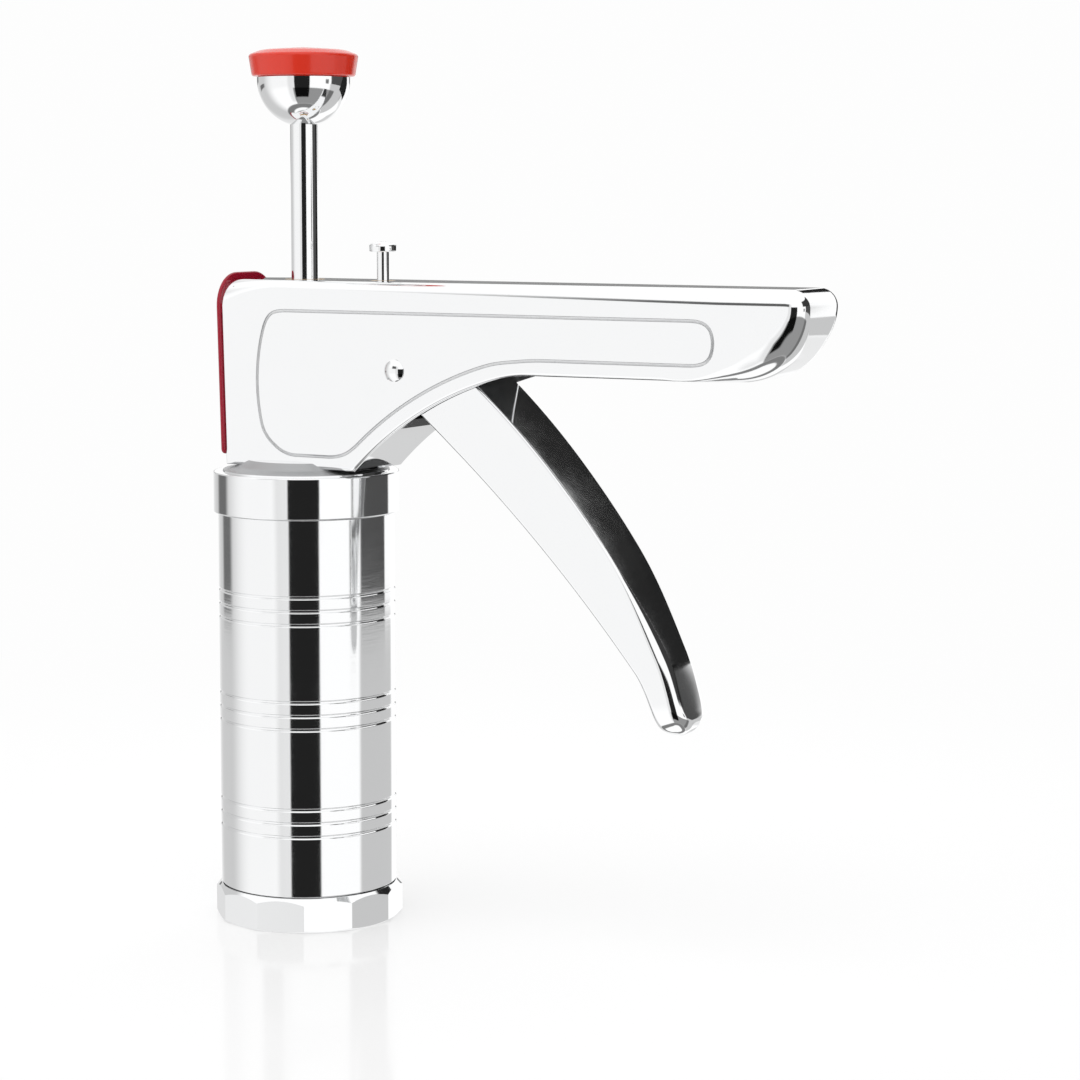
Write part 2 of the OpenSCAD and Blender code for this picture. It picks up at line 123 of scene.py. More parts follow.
def rounded(corners, steps=6):
    """A closed outline whose corners (x, y, radius) are filleted."""
    points = []
    n = len(corners)
    for i, (x, y, radius) in enumerate(corners):
        here = Vector((x, y))
        before = Vector(corners[i - 1][:2]) - here
        after = Vector(corners[(i + 1) % n][:2]) - here
        if radius <= 0:
            points.append((x, y))
            continue
        before.normalize()
        after.normalize()
        half = before.angle(after) / 2
        reach = radius / math.tan(half)
        mid = here + (before + after).normalized() * (radius / math.sin(half))
        a = math.atan2(*reversed(here + before * reach - mid))
        b = math.atan2(*reversed(here + after * reach - mid))
        sweep = (b - a + math.pi) % (2 * math.pi) - math.pi
        for k in range(steps + 1):
            t = a + sweep * k / steps
            points.append((mid.x + radius * math.cos(t), mid.y + radius * math.sin(t)))
    return points


def resample(points, gap):
    """The closed outline with no stretch longer than gap."""
    out = []
    for i, a in enumerate(points):
        b = points[(i + 1) % len(points)]
        count = max(1, math.ceil(math.dist(a, b) / gap))
        out += [(a[0] + (b[0] - a[0]) * k / count, a[1] + (b[1] - a[1]) * k / count)
                for k in range(count)]
    return out


def eased(points, span):
    """The closed outline with its corners rounded: each point is the mean of its neighbours."""
    near = range(-span, span + 1)
    return [tuple(sum(points[(i + k) % len(points)][c] for k in near) / len(near)
                  for c in (0, 1)) for i in range(len(points))]


def inward(points):
    """Inward mitre of each point of a counter-clockwise closed outline."""
    out = []
    for i, p in enumerate(points):
        a = Vector(p) - Vector(points[i - 1])
        b = Vector(points[(i + 1) % len(points)]) - Vector(p)
        a.normalize()
        b.normalize()
        na, nb = Vector((-a.y, a.x)), Vector((-b.y, b.x))
        mid = (na + nb).normalized()
        out.append(mid / max(0.5, mid.dot(na)))
    return out


def mix(a, b, t):
    return a + (b - a) * t


def smooth(t):
    """0 up to t = 0, 1 from t = 1, and an easy slope between."""
    t = min(1.0, max(0.0, t))
    return t * t * (3 - 2 * t)


def area(points):
    return sum(a[0] * b[1] - b[0] * a[1] for a, b in zip(points, points[1:] + points[:1])) / 2


# ---------------------------------------------------------------- mesh making

def linked(name, data):
    """A new object in the scene."""
    obj = bpy.data.objects.new(name, data)
    bpy.context.scene.collection.objects.link(obj)
    return obj


def solid(name, verts, faces, merge=None):
    """An object from points in millimetres, with its faces turned outwards."""
    mesh = bpy.data.meshes.new(name)
    mesh.from_pydata([Vector(v) * MM for v in verts], [], faces)
    bm = bmesh.new()
    bm.from_mesh(mesh)
    if merge:
        bmesh.ops.remove_doubles(bm, verts=bm.verts, dist=merge)
    bmesh.ops.recalc_face_normals(bm, faces=bm.faces)
    bm.to_mesh(mesh)
    bm.free()
    return linked(name, mesh)


def make(name, verts, faces, body, material, slot, stands_for=(), sharp=35):
    """A finished piece, riding on a body."""
    return dress(solid(name, verts, faces), body, material, stands_for, sharp)


def tool(name, verts, faces):
    """A solid with no material yet, for a cut or as the start of a piece."""
    return solid(name, verts, faces, merge=1e-7)


def dress(obj, body, material, stands_for=(), sharp=35):
    """Smooths a piece, gives it its material and joins it to the frame."""
    obj.data.shade_smooth()
    obj.data.set_sharp_from_angle(angle=math.radians(sharp))
    obj.data.materials.clear()
    obj.data.materials.append(material)
    if body:
        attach(obj, body)
    if stands_for:
        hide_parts(*stands_for)
    return obj


def lathe_mesh(profile, axis=(0, 0), segments=192):
    """Points and faces of a closed (r, z) profile turned about a vertical axis."""
    verts, faces, n = [], [], len(profile)
    for i in range(segments):
        a = 2 * math.pi * i / segments
        verts += [(axis[0] + r * math.cos(a), axis[1] + r * math.sin(a), z) for r, z in profile]
    for i in range(segments):
        j = (i + 1) % segments
        faces += [(i * n + k, j * n + k, j * n + (k + 1) % n, i * n + (k + 1) % n)
                  for k in range(n)]
    return verts, faces


def weld(obj, distance=1e-6):
    """Merges points that lie together and drops faces with no area."""
    bm = bmesh.new()
    bm.from_mesh(obj.data)
    bmesh.ops.remove_doubles(bm, verts=bm.verts, dist=distance)
    bmesh.ops.dissolve_degenerate(bm, edges=bm.edges, dist=distance)
    bmesh.ops.recalc_face_normals(bm, faces=bm.faces)
    bm.to_mesh(obj.data)
    bm.free()


def lathe(name, profile, body, material, slot, stands_for=(), axis=(0, 0), segments=192,
          sharp=35):
    """A turned piece."""
    verts, faces = lathe_mesh(profile, axis, segments)
    obj = make(name, verts, faces, None, material, slot, (), sharp)
    weld(obj)
    return dress(obj, body, material, stands_for, sharp)


def pillow_mesh(outline, half_w, fillets, steps=6, push=None):
    """An X-Z outline extruded over y = -half_w..half_w, each point with its own edge fillet."""
    push = push or inward(outline)
    n = len(outline)
    rings = []
    for side in (-1, 1):
        for k in range(steps + 1):
            angle = math.radians(90 * k / steps)
            ring = []
            for (x, z), d, f in zip(outline, push, fillets):
                inset = f * (1 - math.cos(angle))
                y = half_w - f + f * math.sin(angle)
                ring.append((x + d.x * inset, side * y, z + d.y * inset))
            rings.append(ring)
    verts = [v for ring in rings for v in ring]
    order = list(range(steps, -1, -1)) + list(range(steps + 1, 2 * steps + 2))
    faces = []
    for a, b in zip(order, order[1:]):
        faces += [(a * n + i, a * n + (i + 1) % n, b * n + (i + 1) % n, b * n + i)
                  for i in range(n)]
    faces.append([steps * n + i for i in range(n)])
    faces.append([(2 * steps + 1) * n + i for i in reversed(range(n))])
    return verts, faces


def combine(obj, operation, others):
    """Applies booleans with the other solids and removes them."""
    for other in others:
        mod = obj.modifiers.new("cut", "BOOLEAN")
        mod.operation = operation
        mod.solver = "EXACT"
        mod.object = other
        settled(obj)
        bpy.data.objects.remove(other)


def settled(obj):
    """Applies every modifier of obj."""
    dg = bpy.context.evaluated_depsgraph_get()
    mesh = bpy.data.meshes.new_from_object(obj.evaluated_get(dg))
    obj.modifiers.clear()
    old = obj.data
    obj.data = mesh
    bpy.data.meshes.remove(old)


def prism(outline, half_w, y=0.0):
    """Points and faces of an X-Z outline extruded along Y."""
    n = len(outline)
    verts = [(x, y + s * half_w, z) for s in (-1, 1) for x, z in outline]
    faces = [(i, (i + 1) % n, n + (i + 1) % n, n + i) for i in range(n)]
    return verts, faces + [list(range(n)), [n + i for i in reversed(range(n))]]


def rod_mesh(a, b, radius, segments=48):
    """Points and faces of a plain round bar from a to b."""
    a, b = Vector(a), Vector(b)
    turn = (b - a).to_track_quat("Z", "Y")
    ring = [turn @ Vector((radius * math.cos(t), radius * math.sin(t), 0))
            for t in (2 * math.pi * i / segments for i in range(segments))]
    verts = [a + v for v in ring] + [b + v for v in ring]
    faces = [(i, (i + 1) % segments, segments + (i + 1) % segments, segments + i)
             for i in range(segments)]
    ends = [list(range(segments)), [segments + i for i in reversed(range(segments))]]
    return [tuple(v) for v in verts], faces + ends


def tube_along(points, radius, sides=10):
    """Points and faces of a closed round tube through a closed ring of 3D points."""
    pts = [Vector(p) for p in points]
    n = len(pts)
    verts, faces = [], []
    for i, p in enumerate(pts):
        ahead = (pts[(i + 1) % n] - pts[i - 1]).normalized()
        side = Vector((0, 1, 0))
        up = ahead.cross(side).normalized()
        verts += [tuple(p + radius * (math.cos(t) * side + math.sin(t) * up))
                  for t in (2 * math.pi * k / sides for k in range(sides))]
    for i in range(n):
        j = (i + 1) % n
        faces += [(i * sides + k, i * sides + (k + 1) % sides, j * sides + (k + 1) % sides,
                   j * sides + k) for k in range(sides)]
    return verts, faces


def soften(obj, width, angle=40, segments=2):
    """A small rounding on every edge sharper than angle."""
    mod = obj.modifiers.new("edge", "BEVEL")
    mod.width = width * MM
    mod.segments = segments
    mod.limit_method = "ANGLE"
    mod.angle_limit = math.radians(angle)
    mod.harden_normals = True


# ---------------------------------------------------------------- materials

class Nodes:
    """A short way to write a node tree."""

    def __init__(self, tree):
        self.tree = tree

    def add(self, kind, inputs=None, **fields):
        node = self.tree.nodes.new(kind)
        for key, value in fields.items():
            setattr(node, key, value)
        for key, value in (inputs or {}).items():
            if isinstance(value, bpy.types.NodeSocket):
                self.tree.links.new(value, node.inputs[key])
            else:
                node.inputs[key].default_value = value
        return node

    def math(self, operation, *values):
        node = self.add("ShaderNodeMath", operation=operation)
        for i, value in enumerate(values):
            if isinstance(value, bpy.types.NodeSocket):
                self.tree.links.new(value, node.inputs[i])
            else:
                node.inputs[i].default_value = value
        return node.outputs[0]


def material(name, colour, metallic, rough, grain=(400, 1.0, 0.0), tint=0.0, coat=0.0,
             stretch=(1, 1, 1), ior=1.5):
    """A surface whose roughness, colour and relief vary with noise.

    rough is (lowest, highest); grain is (scale per metre, detail, relief in micrometres);
    tint is how far the colour varies.
    """
    mat = bpy.data.materials.new(name)
    mat.use_nodes = True
    tree = mat.node_tree
    tree.nodes.clear()
    g = Nodes(tree)
    where = g.add("ShaderNodeTexCoord").outputs["Object"]
    place = g.add("ShaderNodeMapping", {"Vector": where, "Scale": stretch}).outputs[0]
    cloud = g.add("ShaderNodeTexNoise", {"Vector": where, "Scale": 45.0, "Detail": 4.0,
                                         "Roughness": 0.6}).outputs[0]
    fine = g.add("ShaderNodeTexNoise", {"Vector": place, "Scale": grain[0], "Detail": grain[1],
                                        "Roughness": 0.55}).outputs[0]
    mixed = g.math("ADD", g.math("MULTIPLY", cloud, 0.6), g.math("MULTIPLY", fine, 0.4))
    roughness = g.add("ShaderNodeMapRange", {"Value": mixed, "From Min": 0.3, "From Max": 0.7,
                                             "To Min": rough[0], "To Max": rough[1]}).outputs[0]
    dark = [c * (1 - tint) for c in colour]
    ramp = g.add("ShaderNodeMix", {"Factor": mixed, 6: (*dark, 1), 7: (*colour, 1)},
                 data_type="RGBA")
    base = ramp.outputs[2]
    bsdf = g.add("ShaderNodeBsdfPrincipled", {"Base Color": base, "Metallic": metallic,
                                              "Roughness": roughness, "IOR": ior})
    if coat:
        bsdf.inputs["Coat Weight"].default_value = coat
        bsdf.inputs["Coat Roughness"].default_value = 0.05
    if grain[2]:
        bump = g.add("ShaderNodeBump", {"Height": fine, "Strength": 1.0,
                                        "Distance": grain[2] * 1e-6})
        tree.links.new(bump.outputs[0], bsdf.inputs["Normal"])
    out = g.add("ShaderNodeOutputMaterial")
    tree.links.new(bsdf.outputs[0], out.inputs[0])
    return mat


MATS = {
    "cast_chrome": material("cast_chrome", (0.91, 0.915, 0.92), 1.0, (0.035, 0.09),
                            (120, 2.0, 6.0), tint=0.03),
    # also put on the neck's upper face as painted shade under the head
    "cast_inside": material("cast_inside", (0.5, 0.505, 0.51), 1.0, (0.36, 0.5),
                            (500, 3.0, 40.0), tint=0.08),
    "cast_satin": material("cast_satin", (0.74, 0.745, 0.75), 1.0, (0.3, 0.4), (500, 3.0, 10.0),
                           tint=0.05),
    "polished_steel": material("polished_steel", (0.9, 0.905, 0.91), 1.0, (0.05, 0.1),
                               (700, 3.0, 3.0), tint=0.03, stretch=(0.15, 0.15, 3.0)),
    "rod_chrome": material("rod_chrome", (0.9, 0.905, 0.91), 1.0, (0.04, 0.1),
                           (700, 2.0, 2.0), tint=0.03, stretch=(1, 1, 0.1)),
    "plain_steel": material("plain_steel", (0.52, 0.53, 0.55), 1.0, (0.28, 0.45),
                            (900, 3.0, 20.0), tint=0.12, stretch=(0.2, 1, 1)),
    "spring_steel": material("spring_steel", (0.42, 0.42, 0.44), 1.0, (0.25, 0.4),
                             (900, 2.0, 10.0), tint=0.15),
    "bronze": material("bronze", (0.62, 0.42, 0.2), 1.0, (0.25, 0.42), (1400, 3.0, 25.0),
                       tint=0.2),
    "red_plastic": material("red_plastic", (0.33, 0.004, 0.022), 0.0, (0.16, 0.28),
                            (1500, 2.0, 8.0), tint=0.1, coat=0.15, ior=1.42),
    "orange_plastic": material("orange_plastic", (0.72, 0.03, 0.01), 0.0, (0.2, 0.3),
                               (2500, 3.0, 15.0), tint=0.08, coat=0.3, ior=1.45),
    "white_plastic": material("white_plastic", (0.8, 0.8, 0.78), 0.0, (0.3, 0.42),
                              (1800, 2.0, 15.0), tint=0.05),
    "die_aluminium": material("die_aluminium", (0.72, 0.73, 0.74), 1.0, (0.22, 0.38),
                              (1200, 3.0, 20.0), tint=0.08),
    "silicone": material("silicone", (0.05, 0.05, 0.055), 0.0, (0.5, 0.65), (2200, 2.0, 20.0),
                         tint=0.2),
}

for entry in frame["record"]["subparts"]:
    node = frame["nodes"][entry["node"]]
    dress(node, None, MATS[entry["material_slot"]])


# ---------------------------------------------------------------- casting

def arch_points():
    """The arch from the heel up to the handle's underside: a large arc and a small one."""
    blend_z = GRIP - ARCH_END_R
    rise = blend_z - ARCH_MID[1]
    blend_x = ARCH_MID[0] - math.sqrt((ARCH_R - ARCH_END_R) ** 2 - rise ** 2)
    meet = math.degrees(math.atan2(rise, blend_x - ARCH_MID[0]))
    start = 180 - math.degrees(math.acos((ARCH_MID[0] - HEEL) / ARCH_R))
    return (arc(ARCH_MID, ARCH_R, start, meet, 40),
            arc((blend_x, blend_z), ARCH_END_R, meet, 90, 8))


def prow():
    """Centre of the handle's curved end, and the angle where its tip begins."""
    z = GRIP + PROW
    x = REACH - TIP - math.sqrt((PROW - TIP) ** 2 - (z - TOP + TIP) ** 2)
    return (x, z), math.degrees(math.atan2(TOP - TIP - z, REACH - TIP - x))


def shell_outline():
    """The casting seen from the side, without the points that its front corner covers."""
    big_arc, small_arc = arch_points()
    centre, angle = prow()
    end = arc(centre, PROW, -90, angle, 36)
    corner = arc((REACH - TIP, TOP - TIP), TIP, angle, 90, 16)
    points = ([(FRONT[0], FLOOR)] + big_arc + small_arc[1:] + end + corner[1:]
              + [(FRONT[1], TOP)])
    return [p for p in resample(points, 3.0)
            if p[0] > FRONT[1] + 2.5 or p[1] < TOP - TOP_DROP - 1 or p[1] > TOP - 0.5]


def shell_fillet(x, z):
    """Rounding of the casting's side edge at a point of its outline."""
    plain, thin, behind_cover = 1.1, 0.7, 0.3
    swell_from, swell_over = 130, 24     # where the edge grows to PROW_EDGE
    on_top = z > TOP - 0.5
    if x < FRONT[0] + 0.3 and not on_top:
        return behind_cover
    edge = plain
    if x > swell_from - 5:
        edge = mix(thin, PROW_EDGE, smooth((x - swell_from) / swell_over))
        edge = mix(edge, min(edge, TIP - 0.1), smooth((z - TOP + 3.5 * TIP) / (2.5 * TIP)))
    if x > 0:
        crown = min(mix(*CROWN, x / 140), CROWN[1])
    else:
        crown = mix(CROWN[0], TOP_DROP, min(1.0, x / FRONT[1]) ** 2)
    top = smooth((z - TOP + TIP) / TIP) if x > REACH - 12 else float(on_top)
    return mix(edge, crown, top)


def shell_hollows(inner):
    """The hollow of the head and handle, open below, and the narrower one in the handle's end."""
    roof, far = TOP - ROOF, REACH - 7
    below = FLOOR - 4                    # anywhere under the handle
    skin = arc(ARCH_MID, ARCH_R + SKIN, 134.9, 124.3, 14)
    front = FRONT[0] + 1.8
    cavity = ([(front, FLOOR + 2.5)] + skin
              + [(40, below), (MOUTH, below), (MOUTH, roof), (front, roof)])
    centre, _ = prow()
    radius = PROW - END_WALL
    end = -math.degrees(math.acos((far - centre[0]) / radius))
    pocket = arc(centre, radius, -90, end, 14) + [(far, roof), (MOUTH - 1, roof),
                                                  (MOUTH - 1, GRIP + END_WALL)]
    return [tool("cavity", *prism(cavity, inner)),
            tool("pocket", *prism(pocket, HALF_W - PROW_EDGE + 2))]


def body_shell():
    """The casting: head and handle in one, hollow, with an engraved line on both sides."""
    outline = shell_outline()
    push = [Vector((0, -1)) if math.dist(p, (FRONT[1], TOP)) < 0.1 else d
            for p, d in zip(outline, inward(outline))]
    fillets = [shell_fillet(x, z) for x, z in outline]
    obj = tool("body_casting", *pillow_mesh(outline, HALF_W, fillets, 10, push))
    inner = HALF_W - WALL
    low = COLLAR[1]
    neck = rounded([(0.5, low, 0), (24.6, low, 0), (24.4, low + 0.5, 0.4), (20.5, low + 1.4, 4),
                    (17.5, 136.0, 0), (0.5, 136.0, 0)])
    bush_r, pin_bush_r = 5.9, 3.6
    bore = rod_mesh((0, 0, 130), (0, 0, 200), bush_r)
    pin_bore = rod_mesh((PIN_X, 0, 180), (PIN_X, 0, 195), pin_bush_r)
    pivot = rod_mesh((PIVOT[0], -20, PIVOT[1]), (PIVOT[0], 20, PIVOT[1]), PIVOT_R)
    combine(obj, "DIFFERENCE", shell_hollows(inner))
    line = panel_line()
    for side in (-1, 1):
        path = [(x, side * HALF_W, z) for x, z in line]
        combine(obj, "DIFFERENCE", [tool("groove", *tube_along(path, LINE_R))])
    combine(obj, "DIFFERENCE", [tool("pin_bore", *pin_bore), tool("pivot", *pivot)])
    combine(obj, "UNION", [tool("neck", *lathe_mesh(neck, segments=128))])
    combine(obj, "DIFFERENCE", [tool("bore", *bore)])
    weld(obj, 2e-6)
    dress(obj, "frame", MATS["cast_chrome"], ["body_shell"], 30)
    line_inside(obj, inner + 0.05, line)
    soften(obj, 0.18, 50)


def line_inside(obj, half_w, line):
    """Unpolished casting between y = -half_w and half_w, painted shade on the neck's upper face,
    and a satin groove along the line.
    """
    obj.data.materials.append(MATS["cast_inside"])
    obj.data.materials.append(MATS["cast_satin"])
    unpolished_and_shade, satin = 1, 2
    deepest, nearest = LINE_R + 0.1, 1.3
    for face in obj.data.polygons:
        c = face.center / MM
        if HALF_W - deepest < abs(c.y) < HALF_W - 0.01 and abs(face.normal.y) < 0.99:
            if min(math.dist((c.x, c.z), p) for p in line) < nearest:
                face.material_index = satin
        wall = abs(c.y) < half_w and abs(c.y + face.normal.y) < abs(c.y) - 0.5
        # The neck's upper face also takes cast_inside, as painted shade under the head; its
        # polished rim is left out.
        neck = c.z < FLOOR + 1.4 and math.hypot(c.x, c.y) < 24.45 and face.normal.z > 0.1
        if wall or neck:
            face.material_index = unpolished_and_shade


def panel_line():
    """The engraved line on each side, which follows the outline and has rounded corners."""
    big = ARCH_R + PANEL_IN
    low, top, under = FLOOR + 3.7, TOP - 8.7, GRIP + 4.4
    end_x, end_r = 134.5, 4.5
    first = math.degrees(math.acos(-(ARCH_MID[0] - 24.5) / big))
    last = math.degrees(math.asin((under - 1.2 - ARCH_MID[1]) / big))
    points = [(1.5, low), (20.5, low)] + arc(ARCH_MID, big, first, 180 - last, 30)
    points += [(84.0, under)] + arc((end_x, under + end_r), end_r, -90, 0, 8)
    points += arc((end_x, top - end_r), end_r, 0, 90, 8)
    points += arc((-0.4, top - 5), 5, 90, 162, 8)
    points += arc((46.0, 159.5), 54.0, 164, 197, 14)
    return eased(resample(points, 1.2), 3)


# ---------------------------------------------------------------- trigger

def section(inner, outer, half_w, r_in, r_out, steps=5):
    """Closed rounded rectangle across the lever, from its open edge to its outer face."""
    inner, outer = Vector(inner), Vector(outer)
    span = outer - inner
    depth = span.length
    out = span.normalized()
    limit = min(depth, 2 * half_w) / 2 * 0.98
    flat = rounded([(0, -half_w, min(r_in, limit)), (depth, -half_w, min(r_out, limit)),
                    (depth, half_w, min(r_out, limit)), (0, half_w, min(r_in, limit))], steps)
    return [(inner.x + out.x * a, y, inner.y + out.y * a) for a, y in flat]


def loft(sections):
    """Points and faces of a solid through rings that have the same number of points."""
    n = len(sections[0])
    verts = [v for ring in sections for v in ring]
    faces = []
    for i in range(len(sections) - 1):
        faces += [(i * n + k, i * n + (k + 1) % n, (i + 1) * n + (k + 1) % n, (i + 1) * n + k)
                  for k in range(n)]
    faces.append(list(range(n)))
    faces.append([(len(sections) - 1) * n + k for k in reversed(range(n))])
    return verts, faces


PALM, PALM_R = (-254.9, -208.4), 469.0     # open edge of the lever
BACK, BACK_R = (-84.1, -13.2), 228.6       # its outer face
TOE, TOE_R = Vector((123.6, 69.7)), 4.6
TOE_LEAN = 20.0                            # lean of the tip, degrees off vertical
LEVER_W, TOE_W, TAPER_X = 11.3, 8.6, 62    # half widths, and where the taper begins
CHANNEL_WALL = 1.8


def on_arc(centre, radius, degrees):
    """The point of a circle at an angle."""
    a = math.radians(degrees)
    return Vector((centre[0] + radius * math.cos(a), centre[1] + radius * math.sin(a)))


def lever_lines(t):
    """Inner and outer edge of the lever at t, 0 at the casting and 1 where the tip begins."""
    spread = 0.9 * smooth((t - 0.4) / 0.6)
    return (on_arc(PALM, PALM_R, mix(50.6, 38.4, t)),
            on_arc(BACK, BACK_R + spread, mix(52.5, 25.9, t)))


def curve(a, da, b, db, t):
    """Hermite curve from a to b."""
    h = (2 * t ** 3 - 3 * t ** 2 + 1, t ** 3 - 2 * t ** 2 + t,
         3 * t ** 2 - 2 * t ** 3, t ** 3 - t ** 2)
    return a * h[0] + da * h[1] + b * h[2] + db * h[3]


def lever_width(x):
    """Half width of the lever, even up to TAPER_X and then narrower towards the toe."""
    return mix(LEVER_W, TOE_W, min(1.0, max(0.0, (x - TAPER_X) / (TOE[0] - TAPER_X))))


def lever_body(inset=0.0):
    """Sections from the casting to the tip, or of the channel that leaves walls inset thick."""
    rings = []
    steps = 44
    for i in range(steps + 1):
        t = i / steps
        inner, outer = lever_lines(t)
        width = lever_width((inner.x + outer.x) / 2)
        out = (outer - inner).normalized()
        if inset:
            fade = smooth((t - 0.8) / 0.2)
            outer = outer - out * (inset + 0.4 + 7 * fade)
            inner = inner - out * 4
            width -= inset
            rings.append(section(inner, outer, width - 2.0 * fade, 0.2, 1.2 + 2.5 * fade))
        else:
            bevel = mix(0.8, 3.4, smooth((t - 0.7) / 0.3))
            rings.append(section(inner, outer, width, 1.0, bevel))
    return rings


def lever_tip():
    """Sections of the tip, which turns towards the vertical and ends in a ball."""
    p1, b1 = lever_lines(1)
    p0, b0 = lever_lines(0.97)
    lean = math.radians(TOE_LEAN)
    down = Vector((math.sin(lean), -math.cos(lean)))
    across = Vector((math.cos(lean), math.sin(lean)))
    left, right = TOE - across * TOE_R, TOE + across * TOE_R
    low = TOE[1] - TOE_R
    neck, steps = 0.55, 36               # the neck takes up this share of the tip
    rings = []
    for i in range(1, steps + 1):
        u = i / steps
        if u <= neck:
            k = u / neck
            inner = curve(p1, (p1 - p0) * 4.4, left, down * (left - p1).length, k)
            outer = curve(b1, (b1 - b0) * 5.3, right, down * (right - b1).length, k)
        else:
            beta = math.radians(89 * math.sin((u - neck) / (1 - neck) * math.pi / 2))
            inner = TOE + (down * math.sin(beta) - across * math.cos(beta)) * TOE_R
            outer = TOE + (down * math.sin(beta) + across * math.cos(beta)) * TOE_R
        z = (inner.y + outer.y) / 2
        width = lever_width((inner.x + outer.x) / 2)
        drop = low + TOE_W - z
        if drop > 0:
            width = min(width, math.sqrt(max(0.02, TOE_W ** 2 - drop ** 2)))
        rings.append(section(inner, outer, width, mix(1.0, 3.0, u), mix(3.4, 4.2, u)))
    return rings


def trigger_lever():
    """The curved trigger: a channel open towards the barrel, with two arms for the roller."""
    obj = tool("trigger", *loft(lever_body() + lever_tip()))
    combine(obj, "DIFFERENCE", [tool("channel", *loft(lever_body(CHANNEL_WALL)))])
    arm = rounded([(36, 154, 2), (56, 158, 2), (53, 170, 6), (36, 172, 5),
                   (NOSE[0], NOSE[1] + 4.2, 4), (NOSE[0] - 4.2, NOSE[1] - 1, 3),
                   (NOSE[0] - 1, NOSE[1] - 4.2, 2)], 5)
    arm = resample(arm[::-1] if area(arm) < 0 else arm, 4)
    for side in (-1, 1):
        verts, faces = prism(arm, 0.85, side * 10.4)
        combine(obj, "UNION", [tool("arm", verts, faces)])
    reach = LEVER_W - 0.01
    boss = rod_mesh((PIVOT[0], -reach, PIVOT[1]), (PIVOT[0], reach, PIVOT[1]), 4.2)
    pin = rod_mesh((NOSE[0], -13, NOSE[1]), (NOSE[0], 13, NOSE[1]), 1.5)
    combine(obj, "DIFFERENCE", [tool("boss", *boss), tool("pin", *pin)])
    weld(obj, 2e-6)
    dress(obj, "trigger", MATS["cast_chrome"], ["trigger_lever"], 32)
    soften(obj, 0.2, 50)


# ---------------------------------------------------------------- barrel, collar, ring

def thread(heights):
    """Three ridges of the barrel's thread, as corners of its profile."""
    corners = []
    for z in heights:
        corners += [(THREAD_R, z - 0.6, 0), (THREAD_R + 0.25, z - 0.2, 0.1),
                    (THREAD_R + 0.25, z + 0.2, 0.1), (THREAD_R, z + 0.6, 0)]
    return corners


def barrel():
    """The tube, with a thread at each end and three groups of grooves."""
    foot, head = BARREL_FOOT, COLLAR[1] - 2.8
    profile = [(BORE_R, foot, 0.2), (THREAD_R, foot, 0.3)]
    profile += thread((foot + 1, foot + 3.5, foot + 6))
    profile += [(THREAD_R, RING_TOP + 0.3, 0), (BARREL_R - 0.05, RING_TOP + 0.3, 0.3)]
    groove = BARREL_R - 0.35
    for middle in (32, 63.5, 94):
        for z in (middle - 4, middle, middle + 4):
            profile += [(BARREL_R, z - 0.55, 0.15), (groove, z - 0.25, 0.12),
                        (groove, z + 0.25, 0.12), (BARREL_R, z + 0.55, 0.15)]
    profile += [(BARREL_R, COLLAR[0] - 0.2, 0.2), (THREAD_R, COLLAR[0] - 0.2, 0)]
    profile += thread((head - 6, head - 3.5, head - 1))
    profile += [(THREAD_R, head, 0.3), (BORE_R, head, 0.2)]
    lathe("barrel_tube", rounded(profile, 3), "tube", MATS["polished_steel"], "polished_steel",
          ["barrel"], segments=256, sharp=60)


def collar():
    """The band under the head, which the barrel screws into."""
    low, high = COLLAR
    profile = [(25.55, low, 0.3), (27.3, low, 0.35), (27.3, high, 0.4), (5.95, high, 0.1),
               (5.95, high - 2, 0.1), (25.55, high - 2, 0.2)]
    lathe("collar_band", rounded(profile, 8), "frame", MATS["cast_chrome"], "cast_chrome",
          ["barrel_collar"], segments=256)


def die_ring():
    """The twelve-sided screw ring, with its top and bottom turned down."""
    flats = 12
    corners = [(RING_CORNER * math.cos(a), RING_CORNER * math.sin(a))
               for a in (2 * math.pi * k / flats for k in range(flats))]
    verts = [(x, y, z) for z in (0, RING_TOP) for x, y in corners]
    faces = [(k, (k + 1) % flats, flats + (k + 1) % flats, flats + k) for k in range(flats)]
    ends = [list(range(flats)), [flats + k for k in range(flats)]]
    obj = tool("ring_band", verts, faces + ends)
    outside = RING_CORNER + 0.2
    profile = rounded([(21.5, 0, 0.2), (RING_CORNER - 1.4, 0, 0), (outside, 0.9, 0),
                       (outside, RING_TOP - 2, 0), (RING_CORNER - 1.6, RING_TOP, 0),
                       (25.6, RING_TOP, 0.1), (25.6, 1.4, 0), (21.5, 1.4, 0.1)], 4)
    combine(obj, "INTERSECT", [tool("turned", *lathe_mesh(profile, segments=144))])
    weld(obj, 2e-6)
    dress(obj, "ring", MATS["cast_chrome"], ["die_ring"], 25)
    soften(obj, 0.3, 20, 3)


# ---------------------------------------------------------------- plunger

